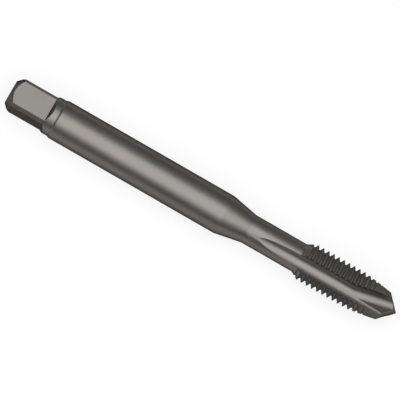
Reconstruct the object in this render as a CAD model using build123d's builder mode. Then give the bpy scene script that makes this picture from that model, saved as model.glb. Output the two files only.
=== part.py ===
"""Spiral-point machine tap, ground from one bar of tool steel. Sizes in millimetres, angles in degrees.

The axis lies along +X, from the centre of the driving end at the origin to the point.
+Z stands square on one flat of the driving square.
"""

import os
from math import acos, ceil, degrees, hypot, radians, sin, tan

from build123d import *

# ---- Driving end ----
overall_length = 67.6
end_face_diameter = 3.84
end_chamfer_angle = 45.0
square_across_flats = 4.85
square_length = 6.65  # length of the flats
square_wall_angle = 50.0  # slope of the walls that end the flats
collar_end = 8.14  # from the driving end

# ---- Shank and neck ----
shank_diameter = 6.477
collar_relief = 0.16  # on the radius; the collar also rounds the corners of the square
shank_chamfer_angle = 39.0
shank_cone_angle = 11.0
neck_diameter = 4.78
neck_length = 8.85

# ---- Thread: right hand, one start ----
thread_diameter = 6.35
threads_per_inch = 28
thread_angle = 60.0
thread_depth_in_pitches = 0.6134
crest_flat_in_pitches = 0.125
thread_length = 14.7  # from the neck to the front of the lead
thread_run_in = 1.29  # the groove starts this far back, clear of the neck
thread_back_angle = 30.0

# ---- Lead and point ----
lead_length = 4.95
lead_angle = 8.7
point_half_angle = 46.7

# ---- Straight flutes ----
flute_count = 3
flute_angle = 27.0  # first flute, turned from +Z about +X
flute_radius = 1.472
core_diameter = 3.58
flute_length = 14.08  # full depth, back from the front of the lead
wheel_radius = 45.0  # grinding wheel that leaves the run-out

# ---- Spiral-point grooves ----
point_groove_length = 5.0  # back from the front of the lead to where the floors meet
point_groove_radius = 1.31
point_groove_opening = 80.0  # between the two walls
point_groove_side_angle = 9.0
point_groove_plunge = 11.4
point_groove_offset = 0.15  # towards the cutting face, where it starts

# ---- Sizes that follow ----
end_face_radius = end_face_diameter / 2
shank_radius = shank_diameter / 2
collar_radius = shank_radius - collar_relief
neck_radius = neck_diameter / 2
thread_radius = thread_diameter / 2
core_radius = core_diameter / 2
pitch = 25.4 / threads_per_inch
thread_depth = thread_depth_in_pitches * pitch
root_radius = thread_radius - thread_depth
front_radius = thread_radius - lead_length * tan(radians(lead_angle))

# ---- Stations along the axis, from the driving end ----
end_chamfer_end = (collar_radius - end_face_radius) / tan(radians(end_chamfer_angle))
shank_start = collar_end + collar_relief / tan(radians(shank_chamfer_angle))
lead_front = overall_length - front_radius / tan(radians(point_half_angle))
lead_start = lead_front - lead_length
neck_end = lead_front - thread_length
neck_start = neck_end - neck_length
shank_end = neck_start - (shank_radius - neck_radius) / tan(radians(shank_cone_angle))
thread_start = neck_end + (thread_radius - neck_radius) / tan(radians(thread_back_angle))
flute_start = lead_front - flute_length
point_groove_start = lead_front - point_groove_length
groove_start = neck_end - thread_run_in

# One turn of the thread groove, a truncated V swept along a helix. It starts and ends at the top.
with BuildPart() as thread_groove:
    flank_slope = tan(radians(thread_angle / 2))
    mouth_half_width = pitch * (1 - crest_flat_in_pitches) / 2
    floor_half_width = mouth_half_width - thread_depth * flank_slope
    # The cutter stands proud of the crests, by less than would make its turns meet.
    proud = pitch * crest_flat_in_pitches / 3
    top_half_width = mouth_half_width + proud * flank_slope
    with BuildLine() as turn:
        Helix(pitch=pitch, height=pitch, radius=root_radius, direction=(1, 0, 0))
    with BuildSketch(Plane.XZ):
        with BuildLine():
            Polyline(
                (-floor_half_width, root_radius),
                (floor_half_width, root_radius),
                (top_half_width, thread_radius + proud),
                (-top_half_width, thread_radius + proud),
                close=True,
            )
        make_face()
    sweep(path=turn.line, is_frenet=True)

# A straight flute at the top, with the run-out that its round-edged wheel leaves behind it.
with BuildPart() as flute:
    flute_centre = core_radius + flute_radius
    rise_to_clear = shank_radius - core_radius
    run_out_angle = degrees(acos(1 - rise_to_clear / wheel_radius)) + 1
    with BuildSketch(Plane.YZ.offset(flute_start)):
        with Locations((0, flute_centre)):
            Circle(flute_radius)
    extrude(amount=overall_length - flute_start)
    wheel_axis = Axis((flute_start, 0, flute_centre + wheel_radius), (0, 1, 0))
    flute_back = flute.faces().sort_by(Axis.X)[0]
    revolve(profiles=flute_back, axis=wheel_axis, revolution_arc=run_out_angle)

# A spiral-point groove: a V with a round floor, slanted to the cutting side and plunging to the point.
with BuildPart() as point_groove:
    side_slope = tan(radians(point_groove_side_angle))
    plunge_slope = tan(radians(point_groove_plunge))
    groove_plane = Plane(
        origin=(point_groove_start, point_groove_offset, core_radius + point_groove_radius),
        x_dir=(0, 1, 0),
        z_dir=(1, side_slope, -plunge_slope),
    )
    wall_half_angle = radians(point_groove_opening / 2)
    v_depth = point_groove_radius / sin(wall_half_angle)
    v_half_width = (v_depth + shank_diameter) * tan(wall_half_angle)
    travel = (overall_length - point_groove_start) * hypot(1, side_slope, plunge_slope)
    with BuildSketch(groove_plane):
        with BuildLine():
            walls = FilletPolyline(
                (-v_half_width, shank_diameter),
                (0, -v_depth),
                (v_half_width, shank_diameter),
                radius=point_groove_radius,
            )
            Line(walls @ 1, walls @ 0)
        make_face()
    extrude(amount=travel, both=True)

with BuildPart() as tap:
    # Turned blank: truncated end cone, collar, shank, cone, neck, threaded length, lead and point.
    with BuildSketch(Plane.XZ):
        with BuildLine():
            Polyline(
                (0, 0),
                (0, end_face_radius),
                (end_chamfer_end, collar_radius),
                (collar_end, collar_radius),
                (shank_start, shank_radius),
                (shank_end, shank_radius),
                (neck_start, neck_radius),
                (neck_end, neck_radius),
                (thread_start, thread_radius),
                (lead_start, thread_radius),
                (lead_front, front_radius),
                (overall_length, 0),
                close=True,
            )
        make_face()
    revolve(axis=Axis.X)

    # Driving square: four flats, each ended by a sloped wall.
    flat_height = square_across_flats / 2
    wall_length = (shank_radius - flat_height) / tan(radians(square_wall_angle))
    with BuildSketch(*[Plane.XZ.rotated((90 * side, 0, 0)) for side in range(4)]):
        with BuildLine():
            Polyline(
                (0, flat_height),
                (square_length, flat_height),
                (square_length + wall_length, shank_radius),
                (0, shank_radius),
                close=True,
            )
        make_face()
    extrude(amount=shank_radius, both=True, mode=Mode.SUBTRACT)

    # Flutes and spiral-point grooves, evenly round the axis.
    flute_turns = [flute_angle + 360 / flute_count * index for index in range(flute_count)]
    with Locations(*[Location((0, 0, 0), (turn_angle, 0, 0)) for turn_angle in flute_turns]):
        add(flute.part, mode=Mode.SUBTRACT)
        add(point_groove.part, mode=Mode.SUBTRACT)

    # The thread, turn by turn. Each turn of the groove starts and ends in the open first flute.
    turn_count = ceil((lead_front - groove_start) / pitch)
    turn_starts = [groove_start + pitch * index for index in range(turn_count)]
    with Locations(*[Location((start, 0, 0), (flute_angle, 0, 0)) for start in turn_starts]):
        add(thread_groove.part, mode=Mode.SUBTRACT)

tap.part.label = "tap"
os.makedirs("parts", exist_ok=True)
export_step(tap.part, "parts/tap.step")
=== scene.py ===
"""A spiral-point machine tap, modelled and finished, lying on a pale floor.

It is laid out as an add-on: the sizes and finishes are properties, and each operator makes one thing.
"""

from math import acos, ceil, cos, pi, radians, sin, tan

import bmesh
import bpy
from bpy.props import FloatProperty, FloatVectorProperty, IntProperty, PointerProperty
from mathutils import Matrix, Vector


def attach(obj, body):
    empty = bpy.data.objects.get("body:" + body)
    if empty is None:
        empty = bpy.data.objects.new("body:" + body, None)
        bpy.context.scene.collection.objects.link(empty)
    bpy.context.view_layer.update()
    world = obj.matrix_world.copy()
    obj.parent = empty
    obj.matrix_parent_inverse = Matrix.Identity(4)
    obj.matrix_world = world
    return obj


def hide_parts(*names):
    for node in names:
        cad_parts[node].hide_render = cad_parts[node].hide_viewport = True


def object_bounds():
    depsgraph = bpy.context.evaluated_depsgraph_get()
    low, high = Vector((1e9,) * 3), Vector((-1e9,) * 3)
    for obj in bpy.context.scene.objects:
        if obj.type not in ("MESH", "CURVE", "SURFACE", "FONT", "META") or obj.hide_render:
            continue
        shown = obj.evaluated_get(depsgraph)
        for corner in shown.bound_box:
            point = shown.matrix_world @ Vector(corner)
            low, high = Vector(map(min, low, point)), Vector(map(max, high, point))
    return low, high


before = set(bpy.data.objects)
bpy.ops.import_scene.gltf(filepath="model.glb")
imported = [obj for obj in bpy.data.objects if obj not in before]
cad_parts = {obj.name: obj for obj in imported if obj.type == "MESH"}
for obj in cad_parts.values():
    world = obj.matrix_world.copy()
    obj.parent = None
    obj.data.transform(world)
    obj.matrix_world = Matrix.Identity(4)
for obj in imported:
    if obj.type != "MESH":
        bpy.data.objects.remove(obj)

bl_info = {
    "name": "Spiral-Point Tap",
    "version": (1, 0, 0),
    "blender": (4, 5, 0),
    "location": "View3D > Sidebar > Tap",
    "description": "Models a spiral-point machine tap and the studio it is shown in",
    "category": "Add Mesh",
}

CAD_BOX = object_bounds()

ORIGIN = Vector((0, 0, 0))
AXIS = Vector((1, 0, 0))  # of the tap, towards its point
ACROSS = Vector((0, 1, 0))  # level, and away from the viewer

ROUND_SEGMENTS = 192
CORNER_SEGMENTS = 3
SMOOTH_ANGLE = radians(20)
SEAM_GAP = 1e-7  # points closer than this meet at the seam of a turned shape
STRAY_GAP = 1e-8  # points closer than this are one point after a cut

NOISE_MIDDLE = (0.3, 0.7)  # where most of a noise's values lie
PATCH_EDGES = (0.35, 0.65)  # where the cool patches end and the warm ones begin
NEAR_TO_FAR = (-0.8, 0.8)  # over which the room's near side grades into its far side
LOW_TO_HIGH = (0.2, 0.7)  # over which the room's lower part grades into its upper part


# ---------------------------------------------------------------- properties


def length(name, description, default):
    """A size in metres."""
    return FloatProperty(name=name, description=description, default=default, unit="LENGTH", precision=5)


def angle(name, description, degrees):
    """An angle, written in degrees and kept in radians."""
    return FloatProperty(name=name, description=description, default=radians(degrees), subtype="ANGLE")


def share(name, description, default):
    """A part of a whole."""
    return FloatProperty(name=name, description=description, default=default, subtype="FACTOR")


def colour(name, description, default):
    """A linear colour."""
    return FloatVectorProperty(
        name=name, description=description, default=default, subtype="COLOR", size=3, min=0, max=1
    )


class TapSizes(bpy.types.PropertyGroup):
    """Sizes of the tap. Lengths are along its axis, from the driving end."""

    overall_length: length("Overall Length", "From the driving end to the point", 0.0676)
    end_face_diameter: length("End Face", "Diameter of the flat face at the driving end", 0.00384)
    end_chamfer_angle: angle("End Chamfer", "Slope of the chamfer round the driving end", 45)
    square_across_flats: length("Across Flats", "Size of the driving square", 0.00485)
    square_length: length("Square Length", "Length of the flats", 0.00665)
    square_wall_angle: angle("Square Wall", "Slope of the walls that end the flats", 50)
    collar_end: length("Collar End", "Where the collar behind the square ends", 0.00814)
    shank_diameter: length("Shank", "Diameter of the shank", 0.006477)
    collar_relief: length("Collar Relief", "How far the collar lies below the shank", 0.00016)
    shank_chamfer_angle: angle("Shank Chamfer", "Slope between the collar and the shank", 39)
    shank_cone_angle: angle("Shank Cone", "Slope from the shank down to the neck", 11)
    neck_diameter: length("Neck", "Diameter of the neck", 0.00478)
    neck_length: length("Neck Length", "Length of the neck", 0.00885)
    thread_diameter: length("Thread", "Diameter over the crests", 0.00635)
    pitch: length("Pitch", "Distance from crest to crest", 0.0254 / 28)
    thread_angle: angle("Thread Angle", "Angle between the flanks", 60)
    thread_depth: share("Thread Depth", "Depth of the thread, in pitches", 0.6134)
    crest_flat: share("Crest Flat", "Width of a crest, in pitches", 0.125)
    thread_length: length("Thread Length", "From the neck to the front of the lead", 0.0147)
    thread_run_in: length("Thread Run-In", "How far behind the thread its groove starts", 0.00129)
    thread_back_angle: angle("Thread Back", "Slope from the neck up to the thread", 30)
    lead_length: length("Lead Length", "Length of the tapered lead", 0.00495)
    lead_angle: angle("Lead Angle", "Taper of the lead", 8.7)
    point_half_angle: angle("Point Angle", "Half of the angle of the point", 46.7)
    flute_count: IntProperty(name="Flutes", description="Number of flutes", default=3, min=2, max=4)
    flute_angle: angle("Flute Angle", "Turn of the first flute about the axis", 27)
    flute_radius: length("Flute Radius", "Radius of the flutes' section", 0.001472)
    core_diameter: length("Core", "Diameter between the floors of the flutes", 0.00358)
    flute_length: length("Flute Length", "Full depth, back from the front of the lead", 0.01408)
    wheel_radius: length("Wheel", "Radius of the wheel that leaves the run-out", 0.045)
    point_groove_length: length("Point Groove Length", "Back from the front of the lead", 0.005)
    point_groove_radius: length("Point Groove Radius", "Radius of the grooves' floor", 0.00131)
    point_groove_opening: angle("Point Groove Opening", "Angle between the two walls", 80)
    point_groove_side_angle: angle("Point Groove Slant", "Slant towards the cutting side", 9)
    point_groove_plunge: angle("Point Groove Plunge", "Slope down to the point", 11.4)
    point_groove_offset: length("Point Groove Offset", "Shift to the cutting side", 0.00015)
    edge_break: length("Edge Break", "Rounding of the turned edges", 0.00006)
    shoulder_round: length("Shoulder Round", "Rounding of the step from the collar to the shank", 0.00012)


class SteelFinish(bpy.types.PropertyGroup):
    """How the steel looks."""

    steel: colour("Steel", "Colour of the darkened tool steel", (0.17, 0.158, 0.147))
    # The driving end's colour is a darker copy of the steel: painted shade on its face and chamfer.
    shade_painted_end_steel: colour("Shade-Painted End Steel", "Colour of the painted shade on the driving end", (0.112, 0.109, 0.104))
    thread_steel: colour("Thread Steel", "Colour of the matt skin in the thread", (0.1, 0.093, 0.086))
    rim: colour("Rim", "Tint of the steel seen along its surface", (0.02, 0.02, 0.02))
    roughness: share("Roughness", "Roughness of the ground surfaces", 0.42)
    thread_roughness: share("Thread Roughness", "Roughness of the matt skin in the thread", 0.6)
    thread_metal: share("Thread Metal", "How far the skin in the thread still shines as metal", 0.4)
    line_spacing: length("Grinding Lines", "Distance between the grinding lines", 0.00012)
    line_run: length("Line Run", "Length over which a grinding line fades", 0.004)
    line_depth: length("Line Depth", "Depth of the grinding lines", 0.0000006)
    line_tone: share("Line Tone", "How much the grinding lines differ in tone", 0.1)
    line_polish: share("Line Polish", "How much the grinding lines differ in roughness", 0.06)
    stain_size: length("Stain Size", "Size of the uneven patches of the dark skin", 0.006)
    stain_strength: share("Stain Strength", "How much the patches differ in tone", 0.07)
    cool_tint: colour("Cool Tint", "Tint of the cooler patches", (0.985, 1.0, 0.995))
    warm_tint: colour("Warm Tint", "Tint of the warmer patches", (1.0, 0.975, 0.98))
    edge_softness: length("Edge Softness", "How wide the worn edges catch the light", 0.00005)


class StageSettings(bpy.types.PropertyGroup):
    """The floor, the lamps and the camera."""

    floor_colour: colour("Floor", "Colour of the floor", (0.85, 0.85, 0.85))
    floor_radius: length("Floor Radius", "Radius of the round floor", 4.0)
    floor_glow: share("Floor Glow", "Part of the floor's white that no shadow darkens", 0.8)
    room_colour: colour("Room Colour", "Colour of the room's light", (0.96, 1, 1))
    near_low: share("Near Low", "Light of the room's lower part on the viewer's side", 0.0)
    near_high: share("Near High", "Light of the room's upper part on the viewer's side", 0.6)
    far_low: share("Far Low", "Light of the room's lower part on the far side", 0.15)
    far_high: share("Far High", "Light of the room's upper part on the far side", 0.41)
    horizon_height: share("Horizon Height", "Height of the white band round the room", 0.02)
    lamp_tilt: angle("Lamp Tilt", "Lean of the round lamp, from overhead to the viewer", 10)
    lamp_half_angle: angle("Lamp Half Angle", "Half of the angle that the lamp fills", 36)
    lamp_distance: length("Lamp Distance", "From the tap to the lamp", 0.5)
    lamp_power: FloatProperty(
        name="Lamp Power", description="Power of the round lamp", default=3.05, unit="POWER"
    )
    view_lean: angle("View Lean", "Lean of the view, from overhead to the viewer", 15)
    view_turn: angle("View Turn", "How far the tap's axis drops to the right in the view", 29.9)
    view_width: length("View Width", "Width of the view at the tap", 0.06085)
    view_station: length("View Station", "Point of the axis at the middle of the view", 0.03314)
    view_rise: length("View Rise", "How far the middle of the view lies above the axis", 0.000098)
    lens: FloatProperty(name="Lens", description="Focal length of the camera", default=1000, unit="CAMERA")


# ------------------------------------------------------------------- shapes


def stations(size):
    """Places along the axis and radii that follow from the sizes."""
    shank = size.shank_diameter / 2
    collar = shank - size.collar_relief
    neck = size.neck_diameter / 2
    thread = size.thread_diameter / 2
    end_face = size.end_face_diameter / 2
    front = thread - size.lead_length * tan(size.lead_angle)
    lead_front = size.overall_length - front / tan(size.point_half_angle)
    neck_end = lead_front - size.thread_length
    neck_start = neck_end - size.neck_length
    return {
        "end_face": (0, end_face),
        "end_chamfer": ((collar - end_face) / tan(size.end_chamfer_angle), collar),
        "collar_end": (size.collar_end, collar),
        "shank_start": (size.collar_end + size.collar_relief / tan(size.shank_chamfer_angle), shank),
        "shank_end": (neck_start - (shank - neck) / tan(size.shank_cone_angle), shank),
        "neck_start": (neck_start, neck),
        "neck_end": (neck_end, neck),
        "thread_start": (neck_end + (thread - neck) / tan(size.thread_back_angle), thread),
        "lead_start": (lead_front - size.lead_length, thread),
        "lead_front": (lead_front, front),
    }


def new_piece(name, bm, *materials):
    """An object at the origin that holds the shape, with its normals pointing out."""
    bmesh.ops.recalc_face_normals(bm, faces=bm.faces)
    mesh = bpy.data.meshes.new(name)
    bm.to_mesh(mesh)
    bm.free()
    for material in materials:
        mesh.materials.append(material)
    piece = bpy.data.objects.new(name, mesh)
    bpy.context.scene.collection.objects.link(piece)
    return piece


def points_in(geometry):
    """The points of a piece of geometry."""
    return [part for part in geometry if isinstance(part, bmesh.types.BMVert)]


def edges_in(geometry):
    """The edges of a piece of geometry."""
    return [part for part in geometry if isinstance(part, bmesh.types.BMEdge)]


def repeat_round_axis(bm, count):
    """Copies the whole shape evenly round the axis."""
    bmesh.ops.spin(
        bm,
        geom=bm.verts[:] + bm.edges[:] + bm.faces[:],
        cent=ORIGIN,
        axis=AXIS,
        angle=2 * pi * (count - 1) / count,
        steps=count - 1,
        use_duplicate=True,
    )


def turn_to_first_flute(bm, size):
    """Turns the whole shape about the axis, from straight up to the first flute."""
    turn = Matrix.Rotation(size.flute_angle, 3, AXIS)
    bmesh.ops.rotate(bm, verts=bm.verts, cent=ORIGIN, matrix=turn)


def extrude_ring(bm, edges, shift):
    """Draws a closed ring of edges out by a shift and closes the end."""
    drawn = bmesh.ops.extrude_edge_only(bm, edges=edges)["geom"]
    bmesh.ops.translate(bm, verts=points_in(drawn), vec=shift)
    bmesh.ops.contextual_create(bm, geom=edges_in(drawn))


def extrude_section(bm, faces, shift):
    """Draws flat faces out by a shift into a closed bar."""
    drawn = bmesh.ops.extrude_face_region(bm, geom=faces, use_keep_orig=True)["geom"]
    bmesh.ops.translate(bm, verts=points_in(drawn), vec=shift)


def turned_blank(size, steel, shade_painted_end_steel, thread_steel):
    """The blank as it leaves the lathe: its half section, with broken corners, spun about the axis."""
    bm = bmesh.new()
    places = stations(size)
    step = ("collar_end", "shank_start")
    sharp = ("thread_start", "lead_start", "lead_front")
    butt = bm.verts.new(ORIGIN)
    corners = {name: bm.verts.new((x, 0, radius)) for name, (x, radius) in places.items()}
    point = bm.verts.new((size.overall_length, 0, 0))
    bm.faces.new([butt, *corners.values(), point])
    broken = [name for name in corners if name not in step + sharp]
    for names, offset in ((broken, size.edge_break), (step, size.shoulder_round)):
        bmesh.ops.bevel(
            bm,
            geom=[corners[name] for name in names],
            affect="VERTICES",
            offset=offset,
            segments=CORNER_SEGMENTS,
            profile=0.5,
            material=-1,
        )
    bmesh.ops.delete(bm, geom=bm.faces[:], context="FACES_ONLY")
    axis_edge = next(edge for edge in bm.edges if all(end in (butt, point) for end in edge.verts))
    bmesh.ops.delete(bm, geom=[axis_edge], context="EDGES")
    bmesh.ops.spin(
        bm,
        geom=bm.verts[:] + bm.edges[:],
        cent=ORIGIN,
        axis=AXIS,
        angle=2 * pi,
        steps=ROUND_SEGMENTS,
        use_merge=True,
    )
    bmesh.ops.remove_doubles(bm, verts=bm.verts, dist=SEAM_GAP)
    end, thread_start, thread_front = (
        places[name][0] for name in ("end_chamfer", "thread_start", "lead_front")
    )
    # The driving end takes the darker copy of the steel, which paints shade on its face and chamfer.
    plain, driving_end, threaded = range(3)
    for face in bm.faces:
        x = face.calc_center_median().x
        if x < end:
            face.material_index = driving_end
        elif thread_start < x < thread_front:
            face.material_index = threaded
        else:
            face.material_index = plain
    return new_piece("tap_body", bm, steel, shade_painted_end_steel, thread_steel)


def square_cutter(size, steel):
    """Four bars that leave the driving square, each with a sloped front."""
    flat = size.square_across_flats / 2
    top = size.shank_diameter / 2 * 1.05  # clear of the blank
    back = -size.square_length / 4  # clear of the driving end
    half_width = flat * 0.97  # wider than a flat, and clear of the bars beside it
    wall_end = size.square_length + (top - flat) / tan(size.square_wall_angle)
    bm = bmesh.new()
    outline = ((back, flat), (size.square_length, flat), (wall_end, top), (back, top))
    side = bm.faces.new([bm.verts.new((x, -half_width, z)) for x, z in outline])
    extrude_section(bm, [side], ACROSS * 2 * half_width)
    repeat_round_axis(bm, 4)
    return new_piece("square_cutter", bm, steel)


def flute_cutter(size, steel, segments=96, run_out_steps=32):
    """Straight round-floored cutters, curving out at the back as the wheel leaves them."""
    start = stations(size)["lead_front"][0] - size.flute_length
    core = size.core_diameter / 2
    centre = core + size.flute_radius
    lift = size.shank_diameter / 2 - core
    run_out = acos(1 - lift / size.wheel_radius) + radians(1)  # out past the shank's surface
    bm = bmesh.new()
    place = Matrix.Translation((start, 0, centre)) @ Matrix.Rotation(pi / 2, 4, "Y")
    bmesh.ops.create_circle(bm, radius=size.flute_radius, segments=segments, matrix=place)
    ring = bm.edges[:]
    ring_geometry = bm.verts[:] + ring
    extrude_ring(bm, ring, AXIS * size.flute_length * 1.5)  # past the point
    lifted = bmesh.ops.spin(
        bm,
        geom=ring_geometry,
        cent=(start, 0, centre + size.wheel_radius),
        axis=ACROSS,
        angle=run_out,
        steps=run_out_steps,
    )["geom_last"]
    bmesh.ops.contextual_create(bm, geom=edges_in(lifted))
    repeat_round_axis(bm, size.flute_count)
    turn_to_first_flute(bm, size)
    return new_piece("flute_cutter", bm, steel)


def point_groove_cutter(size, steel, arc_steps=32):
    """V-shaped cutters with a round floor, slanted to the cutting side and plunging to the point."""
    half = size.point_groove_opening / 2
    radius = size.point_groove_radius
    start = stations(size)["lead_front"][0] - size.point_groove_length
    wall = size.shank_diameter  # tall enough to leave the tap
    travel = size.overall_length / 4  # forwards past the point, and back to where it has risen clear
    bm = bmesh.new()
    arc_start = bm.verts.new((radius * cos(half), -radius * sin(half), 0))
    arc_end = bmesh.ops.spin(
        bm, geom=[arc_start], cent=ORIGIN, axis=(0, 0, 1), angle=-(pi - 2 * half), steps=arc_steps
    )["geom_last"][0]
    tops = []
    for foot, side in ((arc_start, 1), (arc_end, -1)):
        top = bmesh.ops.extrude_vert_indiv(bm, verts=[foot])["verts"][0]
        bmesh.ops.translate(bm, verts=[top], vec=Vector((side * sin(half), cos(half), 0)) * wall)
        tops.append(top)
    bm.edges.new(tops)
    bmesh.ops.translate(bm, verts=bm.verts, vec=(0, 0, -travel))
    section = bmesh.ops.contextual_create(bm, geom=bm.edges[:])["faces"]
    extrude_section(bm, section, (0, 0, 2 * travel))
    along = Vector((1, tan(size.point_groove_side_angle), -tan(size.point_groove_plunge))).normalized()
    across = (ACROSS - along * ACROSS.dot(along)).normalized()
    slant = Matrix((across, along.cross(across), along)).transposed().to_4x4()
    place = Matrix.Translation((start, size.point_groove_offset, size.core_diameter / 2 + radius))
    bmesh.ops.transform(bm, matrix=place @ slant, verts=bm.verts)
    repeat_round_axis(bm, size.flute_count)
    turn_to_first_flute(bm, size)
    return new_piece("point_groove_cutter", bm, steel)


def thread_cutter(size, steel):
    """The helical groove between the threads, a truncated V wound on past the point."""
    places = stations(size)
    start = places["neck_end"][0] - size.thread_run_in
    depth = size.thread_depth * size.pitch
    slope = tan(size.thread_angle / 2)
    crest = size.thread_diameter / 2
    mouth = size.pitch * (1 - size.crest_flat) / 2
    floor_half = mouth - depth * slope
    proud = size.pitch * size.crest_flat / 3  # less than would make the turns meet
    top_half = mouth + proud * slope
    turns = ceil((places["lead_front"][0] - start) / size.pitch) + 1
    bm = bmesh.new()
    outline = (
        (-floor_half, crest - depth),
        (floor_half, crest - depth),
        (top_half, crest + proud),
        (-top_half, crest + proud),
    )
    section = bm.faces.new([bm.verts.new((start + x, 0, z)) for x, z in outline])
    turn_to_first_flute(bm, size)
    bmesh.ops.spin(
        bm,
        geom=bm.verts[:] + bm.edges[:] + [section],
        cent=ORIGIN,
        axis=AXIS,
        dvec=AXIS * size.pitch / ROUND_SEGMENTS,
        angle=2 * pi * turns,
        steps=ROUND_SEGMENTS * turns,
    )
    return new_piece("thread_cutter", bm, steel)


def cut(piece, cutter):
    """Cuts one piece out of another. The cut faces keep the cutter's material."""
    modifier = piece.modifiers.new("cut", "BOOLEAN")
    modifier.operation = "DIFFERENCE"
    modifier.solver = "EXACT"
    modifier.material_mode = "TRANSFER"
    modifier.object = cutter
    depsgraph = bpy.context.evaluated_depsgraph_get()
    cut_mesh = bpy.data.meshes.new_from_object(piece.evaluated_get(depsgraph), depsgraph=depsgraph)
    piece.modifiers.remove(modifier)
    whole_mesh = piece.data
    piece.data = cut_mesh
    bpy.data.meshes.remove(whole_mesh)
    cutter_mesh = cutter.data
    bpy.data.objects.remove(cutter)
    bpy.data.meshes.remove(cutter_mesh)


def clean(piece):
    """Merges stray points and checks that the skin is closed."""
    bm = bmesh.new()
    bm.from_mesh(piece.data)
    bmesh.ops.remove_doubles(bm, verts=bm.verts, dist=STRAY_GAP)
    bmesh.ops.dissolve_degenerate(bm, edges=bm.edges, dist=STRAY_GAP)
    open_edges = sum(not edge.is_manifold for edge in bm.edges)
    bm.to_mesh(piece.data)
    bm.free()
    if open_edges:
        raise RuntimeError(f"{piece.name} has {open_edges} open edges")


# ---------------------------------------------------------------- materials


def feed(tree, source, target):
    """Feeds an input from another node's output, or sets it to a value."""
    if isinstance(source, bpy.types.NodeSocket):
        tree.links.new(source, target)
    else:
        target.default_value = source


def node(tree, kind, **settings):
    """A new node with its settings."""
    made = tree.nodes.new(kind)
    for name, value in settings.items():
        setattr(made, name, value)
    return made


def maths(tree, operation, *terms):
    """The result of a sum whose terms are values or outputs."""
    made = node(tree, "ShaderNodeMath", operation=operation)
    for term, target in zip(terms, made.inputs):
        feed(tree, term, target)
    return made.outputs[0]


def noise(tree, place, scale, detail, roughness):
    """A soft noise over a place."""
    made = node(tree, "ShaderNodeTexNoise")
    feed(tree, place, made.inputs["Vector"])
    feed(tree, scale, made.inputs["Scale"])
    feed(tree, detail, made.inputs["Detail"])
    feed(tree, roughness, made.inputs["Roughness"])
    return made.outputs["Fac"]


def graded(tree, source, reach, ends, blend="LINEAR"):
    """Grades from one end to the other, which are values or outputs, over a reach of the source."""
    made = node(tree, "ShaderNodeMapRange", interpolation_type=blend)
    names = ("Value", "From Min", "From Max", "To Min", "To Max")
    for name, value in zip(names, (source, *reach, *ends)):
        feed(tree, value, made.inputs[name])
    return made.outputs["Result"]


def stretched(tree, place, scale):
    """A place with its directions scaled, which draws a noise out into lines."""
    made = node(tree, "ShaderNodeMapping")
    feed(tree, place, made.inputs["Vector"])
    feed(tree, scale, made.inputs["Scale"])
    return made.outputs["Vector"]


def round_lines(tree, place, finish):
    """Where the marks of turning and round grinding run: rings, both on the shank and on its end."""
    split = node(tree, "ShaderNodeSeparateXYZ")
    feed(tree, place, split.inputs[0])
    flat = node(tree, "ShaderNodeVectorMath", operation="MULTIPLY")
    feed(tree, place, flat.inputs[0])
    feed(tree, (0, 1, 1), flat.inputs[1])
    radius = node(tree, "ShaderNodeVectorMath", operation="LENGTH")
    feed(tree, flat.outputs["Vector"], radius.inputs[0])
    joined = node(tree, "ShaderNodeCombineXYZ")
    half_radius_and_x = maths(tree, "MULTIPLY_ADD", radius.outputs["Value"], 0.5, split.outputs["X"])
    feed(tree, half_radius_and_x, joined.inputs["X"])
    feed(tree, split.outputs["Y"], joined.inputs["Y"])
    feed(tree, split.outputs["Z"], joined.inputs["Z"])
    fine, long = 1 / finish.line_spacing, 1 / finish.line_run
    return stretched(tree, joined.outputs[0], (fine, long, long))


def long_lines(tree, place, finish):
    """Where the marks of a wheel run that travels along the tap."""
    fine, long = 1 / finish.line_spacing, 1 / finish.line_run
    return stretched(tree, place, (long, fine, fine))


def tool_steel(name, finish, lines, steel, roughness, metal=1.0):
    """Darkened tool steel. lines says how the marks of turning or grinding run."""
    material = bpy.data.materials.new(name)
    material.use_nodes = True
    tree = material.node_tree
    shader = tree.nodes["Principled BSDF"]
    gloss = 0.5 if metal == 1.0 else 0.0  # a matt skin keeps only the shine of the metal under it
    feed(tree, metal, shader.inputs["Metallic"])
    feed(tree, gloss, shader.inputs["Specular IOR Level"])
    feed(tree, (*finish.rim, 1), shader.inputs["Specular Tint"])

    place = node(tree, "ShaderNodeTexCoord").outputs["Object"]
    marks = noise(tree, lines(tree, place, finish), scale=1.0, detail=3.0, roughness=0.6)
    stains = noise(tree, place, scale=1 / finish.stain_size, detail=4.0, roughness=0.55)

    line_tone, stain, polish = (
        strength / 2 for strength in (finish.line_tone, finish.stain_strength, finish.line_polish)
    )
    tone = maths(
        tree,
        "MULTIPLY",
        graded(tree, marks, NOISE_MIDDLE, (1 - line_tone, 1 + line_tone)),
        graded(tree, stains, NOISE_MIDDLE, (1 - stain, 1 + stain)),
    )
    patches = node(tree, "ShaderNodeValToRGB")
    tints = (finish.cool_tint, finish.warm_tint)
    for stop, position, tint in zip(patches.color_ramp.elements, PATCH_EDGES, tints):
        stop.position = position
        stop.color = (*(base * kept for base, kept in zip(steel, tint)), 1)
    feed(tree, stains, patches.inputs["Fac"])
    toned = node(tree, "ShaderNodeVectorMath", operation="SCALE")
    feed(tree, patches.outputs["Color"], toned.inputs[0])
    feed(tree, tone, toned.inputs["Scale"])
    feed(tree, toned.outputs["Vector"], shader.inputs["Base Color"])

    rough = graded(tree, marks, NOISE_MIDDLE, (roughness - polish, roughness + polish))
    feed(tree, rough, shader.inputs["Roughness"])

    edges = node(tree, "ShaderNodeBevel")
    feed(tree, finish.edge_softness, edges.inputs["Radius"])
    scratches = node(tree, "ShaderNodeBump")
    feed(tree, finish.line_depth, scratches.inputs["Distance"])
    feed(tree, marks, scratches.inputs["Height"])
    feed(tree, edges.outputs["Normal"], scratches.inputs["Normal"])
    feed(tree, scratches.outputs["Normal"], shader.inputs["Normal"])
    return material


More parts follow.
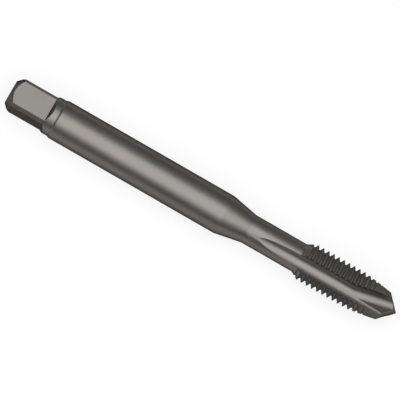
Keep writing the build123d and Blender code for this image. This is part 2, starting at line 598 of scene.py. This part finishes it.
def floor_paper(stage):
    """Pale paper. Part of its white glows to the camera and in reflections; the rest takes the shadow."""
    material = bpy.data.materials.new("floor_paper")
    material.use_nodes = True
    tree = material.node_tree
    tree.nodes.clear()
    paper = node(tree, "ShaderNodeBsdfDiffuse")
    feed(tree, (*stage.floor_colour, 1), paper.inputs["Color"])
    ray = node(tree, "ShaderNodeLightPath").outputs
    seen = maths(tree, "MAXIMUM", ray["Is Camera Ray"], ray["Is Glossy Ray"])
    seen = maths(tree, "MAXIMUM", seen, ray["Is Transmission Ray"])
    mix = node(tree, "ShaderNodeMixShader")
    feed(tree, maths(tree, "MULTIPLY", seen, stage.floor_glow), mix.inputs["Fac"])
    feed(tree, paper.outputs[0], mix.inputs[1])
    feed(tree, node(tree, "ShaderNodeEmission").outputs[0], mix.inputs[2])
    feed(tree, mix.outputs[0], node(tree, "ShaderNodeOutputMaterial").inputs["Surface"])
    return material


# ------------------------------------------------------------ floor and light


def make_floor(stage):
    """The round floor that the tap lies on."""
    bm = bmesh.new()
    place = Matrix.Translation((stage.view_station, 0, CAD_BOX[0][2]))
    bmesh.ops.create_circle(bm, cap_ends=True, radius=stage.floor_radius, segments=128, matrix=place)
    floor = new_piece("floor", bm, floor_paper(stage))


def make_room(stage):
    """Soft light from all round, dimmer low down, with a white band at the horizon."""
    world = bpy.data.worlds.new("room")
    world.use_nodes = True
    tree = world.node_tree
    background = tree.nodes["Background"]
    feed(tree, (*stage.room_colour, 1), background.inputs["Color"])
    split = node(tree, "ShaderNodeSeparateXYZ")
    feed(tree, node(tree, "ShaderNodeTexCoord").outputs["Generated"], split.inputs[0])
    across, rise = split.outputs["Y"], split.outputs["Z"]
    low = graded(tree, across, NEAR_TO_FAR, (stage.near_low, stage.far_low), "SMOOTHSTEP")
    high = graded(tree, across, NEAR_TO_FAR, (stage.near_high, stage.far_high), "SMOOTHSTEP")
    wall = graded(tree, rise, LOW_TO_HIGH, (low, high), "SMOOTHSTEP")
    horizon = (stage.horizon_height, stage.horizon_height * 2)
    feed(tree, graded(tree, rise, horizon, (1.0, wall)), background.inputs["Strength"])
    bpy.context.scene.world = world


def lean(tilt):
    """The direction that leans by an angle from overhead to the viewer's side."""
    return Vector((0, -sin(tilt), cos(tilt)))


def make_lamp(stage):
    """A round soft lamp, nearly overhead."""
    light = bpy.data.lights.new("round_lamp", "AREA")
    light.shape = "DISK"
    light.size = 2 * stage.lamp_distance * tan(stage.lamp_half_angle)
    light.energy = stage.lamp_power
    lamp = bpy.data.objects.new("round_lamp", light)
    direction = lean(stage.lamp_tilt)
    lamp.location = Vector((stage.view_station, 0, 0)) + direction * stage.lamp_distance
    lamp.rotation_euler = direction.to_track_quat("Z", "Y").to_euler()
    lamp.visible_camera = False
    bpy.context.scene.collection.objects.link(lamp)


def make_camera(stage):
    """A long lens that looks down on the tap, turned so that the tap drops to the right."""
    lens = bpy.data.cameras.new("camera")
    lens.lens = stage.lens
    lens.sensor_width = 36
    lens.clip_end = 100
    back = lean(stage.view_lean)
    up_side = back.cross(AXIS)
    right = AXIS * cos(stage.view_turn) + up_side * sin(stage.view_turn)
    up = back.cross(right)
    middle = Vector((stage.view_station, 0, 0)) + up_side * stage.view_rise
    distance = stage.view_width * lens.lens / lens.sensor_width
    camera = bpy.data.objects.new("camera", lens)
    turn = Matrix((right, up, back)).transposed().to_4x4()
    camera.matrix_world = Matrix.Translation(middle + back * distance) @ turn
    bpy.context.scene.collection.objects.link(camera)
    bpy.context.scene.camera = camera


# ---------------------------------------------------------------- operators


class OBJECT_OT_add_tap(bpy.types.Operator):
    """Model the tap: turn the blank, cut the square, the flutes and the thread, and finish the steel"""

    bl_idname = "object.add_tap"
    bl_label = "Add Tap"

    def execute(self, context):
        size = context.scene.tap_sizes
        finish = context.scene.steel_finish
        turned = tool_steel("turned_steel", finish, round_lines, finish.steel, finish.roughness)
        # A darker copy of the turned steel: painted shade on the driving end.
        end = tool_steel("shade_painted_end_steel", finish, round_lines, finish.shade_painted_end_steel, finish.roughness)
        flat = tool_steel("flat_steel", finish, long_lines, finish.steel, finish.roughness)
        fluted = tool_steel("fluted_steel", finish, long_lines, finish.steel, finish.roughness)
        threaded = tool_steel(
            "threaded_steel",
            finish,
            round_lines,
            finish.thread_steel,
            finish.thread_roughness,
            finish.thread_metal,
        )

        tap = turned_blank(size, turned, end, threaded)
        cut(tap, square_cutter(size, flat))
        cut(tap, flute_cutter(size, fluted))
        cut(tap, point_groove_cutter(size, fluted))
        cut(tap, thread_cutter(size, threaded))
        clean(tap)
        tap.data.shade_smooth()
        tap.data.set_sharp_from_angle(angle=SMOOTH_ANGLE)
        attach(tap, "root")
        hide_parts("tap")
        return {"FINISHED"}


class SCENE_OT_add_tap_stage(bpy.types.Operator):
    """Set up the floor, the room, the lamp and the camera"""

    bl_idname = "scene.add_tap_stage"
    bl_label = "Add Stage"

    def execute(self, context):
        stage = context.scene.tap_stage
        make_floor(stage)
        make_room(stage)
        make_lamp(stage)
        make_camera(stage)
        context.scene.view_settings.view_transform = "Standard"
        return {"FINISHED"}


class VIEW3D_PT_tap(bpy.types.Panel):
    """Buttons and sizes for the tap and its stage"""

    bl_label = "Tap"
    bl_idname = "VIEW3D_PT_tap"
    bl_space_type = "VIEW_3D"
    bl_region_type = "UI"
    bl_category = "Tap"

    def draw(self, context):
        scene = context.scene
        for operator, settings in (
            ("object.add_tap", (scene.tap_sizes, scene.steel_finish)),
            ("scene.add_tap_stage", (scene.tap_stage,)),
        ):
            self.layout.operator(operator)
            for group in settings:
                for name in group.__annotations__:
                    self.layout.prop(group, name)


CLASSES = (
    TapSizes,
    SteelFinish,
    StageSettings,
    OBJECT_OT_add_tap,
    SCENE_OT_add_tap_stage,
    VIEW3D_PT_tap,
)


def register():
    for cls in CLASSES:
        bpy.utils.register_class(cls)
    bpy.types.Scene.tap_sizes = PointerProperty(type=TapSizes)
    bpy.types.Scene.steel_finish = PointerProperty(type=SteelFinish)
    bpy.types.Scene.tap_stage = PointerProperty(type=StageSettings)


def unregister():
    del bpy.types.Scene.tap_stage
    del bpy.types.Scene.steel_finish
    del bpy.types.Scene.tap_sizes
    for cls in reversed(CLASSES):
        bpy.utils.unregister_class(cls)


def main():
    register()
    bpy.ops.object.add_tap()
    bpy.ops.scene.add_tap_stage()


if __name__ == "__main__":
    main()
